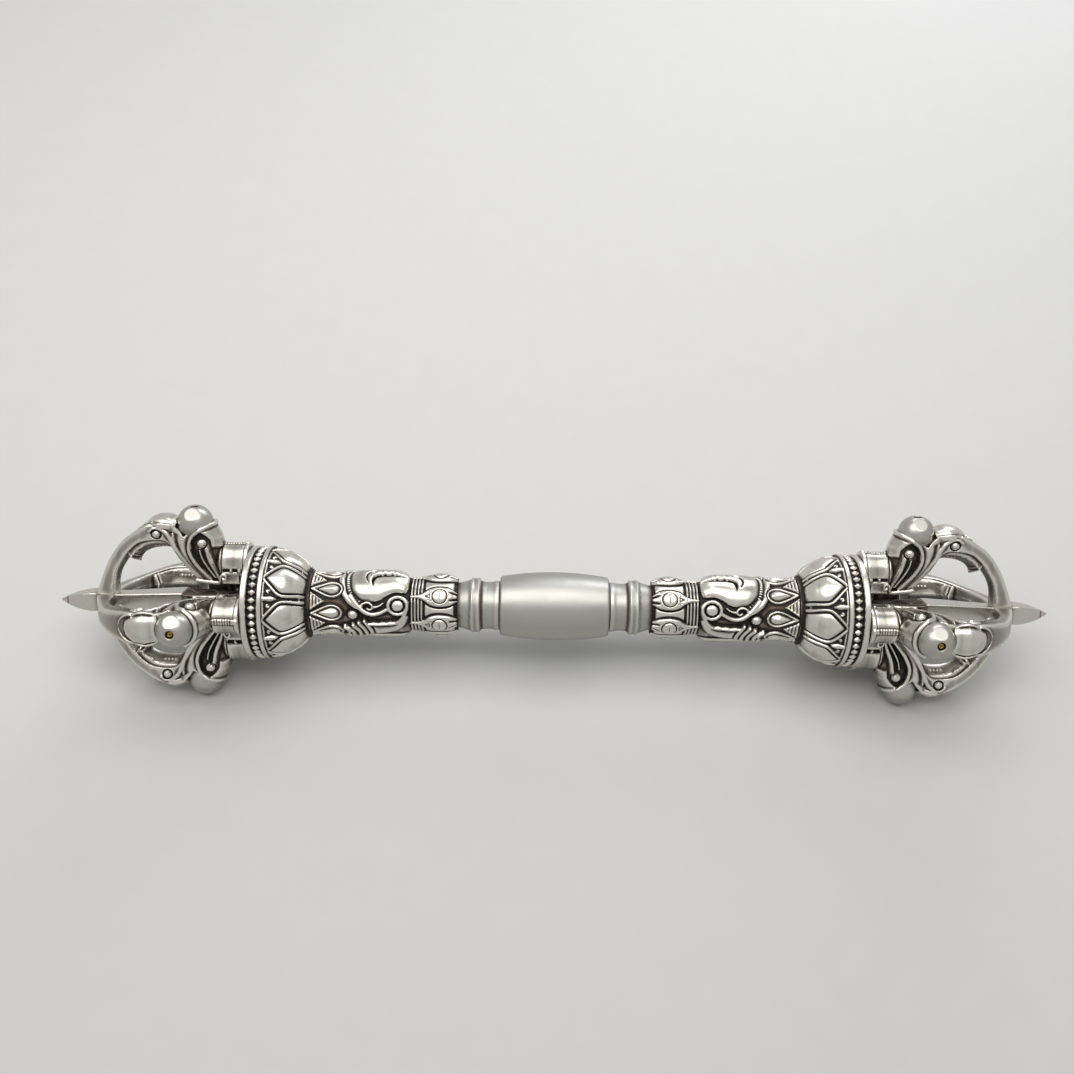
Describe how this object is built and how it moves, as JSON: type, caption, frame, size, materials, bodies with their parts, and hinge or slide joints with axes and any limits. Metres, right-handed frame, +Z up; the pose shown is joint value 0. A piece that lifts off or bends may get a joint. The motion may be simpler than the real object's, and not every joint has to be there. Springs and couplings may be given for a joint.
{
  "type": "vajra",
  "caption": "Long-handled ritual vajra: turned grip between two cast heads, each with a lotus cup, beaded ring, curved crested prongs and a square centre prong.",
  "frame": {"origin": "centre of the footprint, on the surface that the four lower crest balls rest on", "axes": "+X along the long axis toward the right head, +Z up, +Y away from the viewer"},
  "size_m": [0.175, 0.0262, 0.0261],
  "materials": {
    "cast_silver": "polished cast white metal with brown-black oxide in the recesses",
    "ball_silver": "smooth cast white metal, soft polish",
    "satin_silver": "fine-grained satin white metal",
    "dark_seat": "unpolished, heavily oxidised",
    "inner_rod": "plain drawn rod, hidden",
    "brass_pin": "dull brass end, worn flush"
  },
  "bodies": {
    "root": {"grip_barrel": "satin_silver", "core_rod": "inner_rod", "left_neck_ring": "satin_silver", "left_jewel_collar": "cast_silver", "left_mask_sleeve": "cast_silver", "left_lotus_cup": "cast_silver", "left_beaded_ring": "cast_silver", "left_seat_plate": "dark_seat", "left_centre_prong": "cast_silver", "left_prong_upper_back": "cast_silver", "left_ball_upper_back": "ball_silver", "left_pin_upper_back": "brass_pin", "left_prong_upper_front": "cast_silver", "left_ball_upper_front": "ball_silver", "left_pin_upper_front": "brass_pin", "left_prong_lower_front": "cast_silver", "left_ball_lower_front": "ball_silver", "left_pin_lower_front": "brass_pin", "left_prong_lower_back": "cast_silver", "left_ball_lower_back": "ball_silver", "left_pin_lower_back": "brass_pin", "right_neck_ring": "satin_silver", "right_jewel_collar": "cast_silver", "right_mask_sleeve": "cast_silver", "right_lotus_cup": "cast_silver", "right_beaded_ring": "cast_silver", "right_seat_plate": "dark_seat", "right_centre_prong": "cast_silver", "right_prong_upper_back": "cast_silver", "right_ball_upper_back": "ball_silver", "right_pin_upper_back": "brass_pin", "right_prong_upper_front": "cast_silver", "right_ball_upper_front": "ball_silver", "right_pin_upper_front": "brass_pin", "right_prong_lower_front": "cast_silver", "right_ball_lower_front": "ball_silver", "right_pin_lower_front": "brass_pin", "right_prong_lower_back": "cast_silver", "right_ball_lower_back": "ball_silver", "right_pin_lower_back": "brass_pin"}
  },
  "joints": []
}
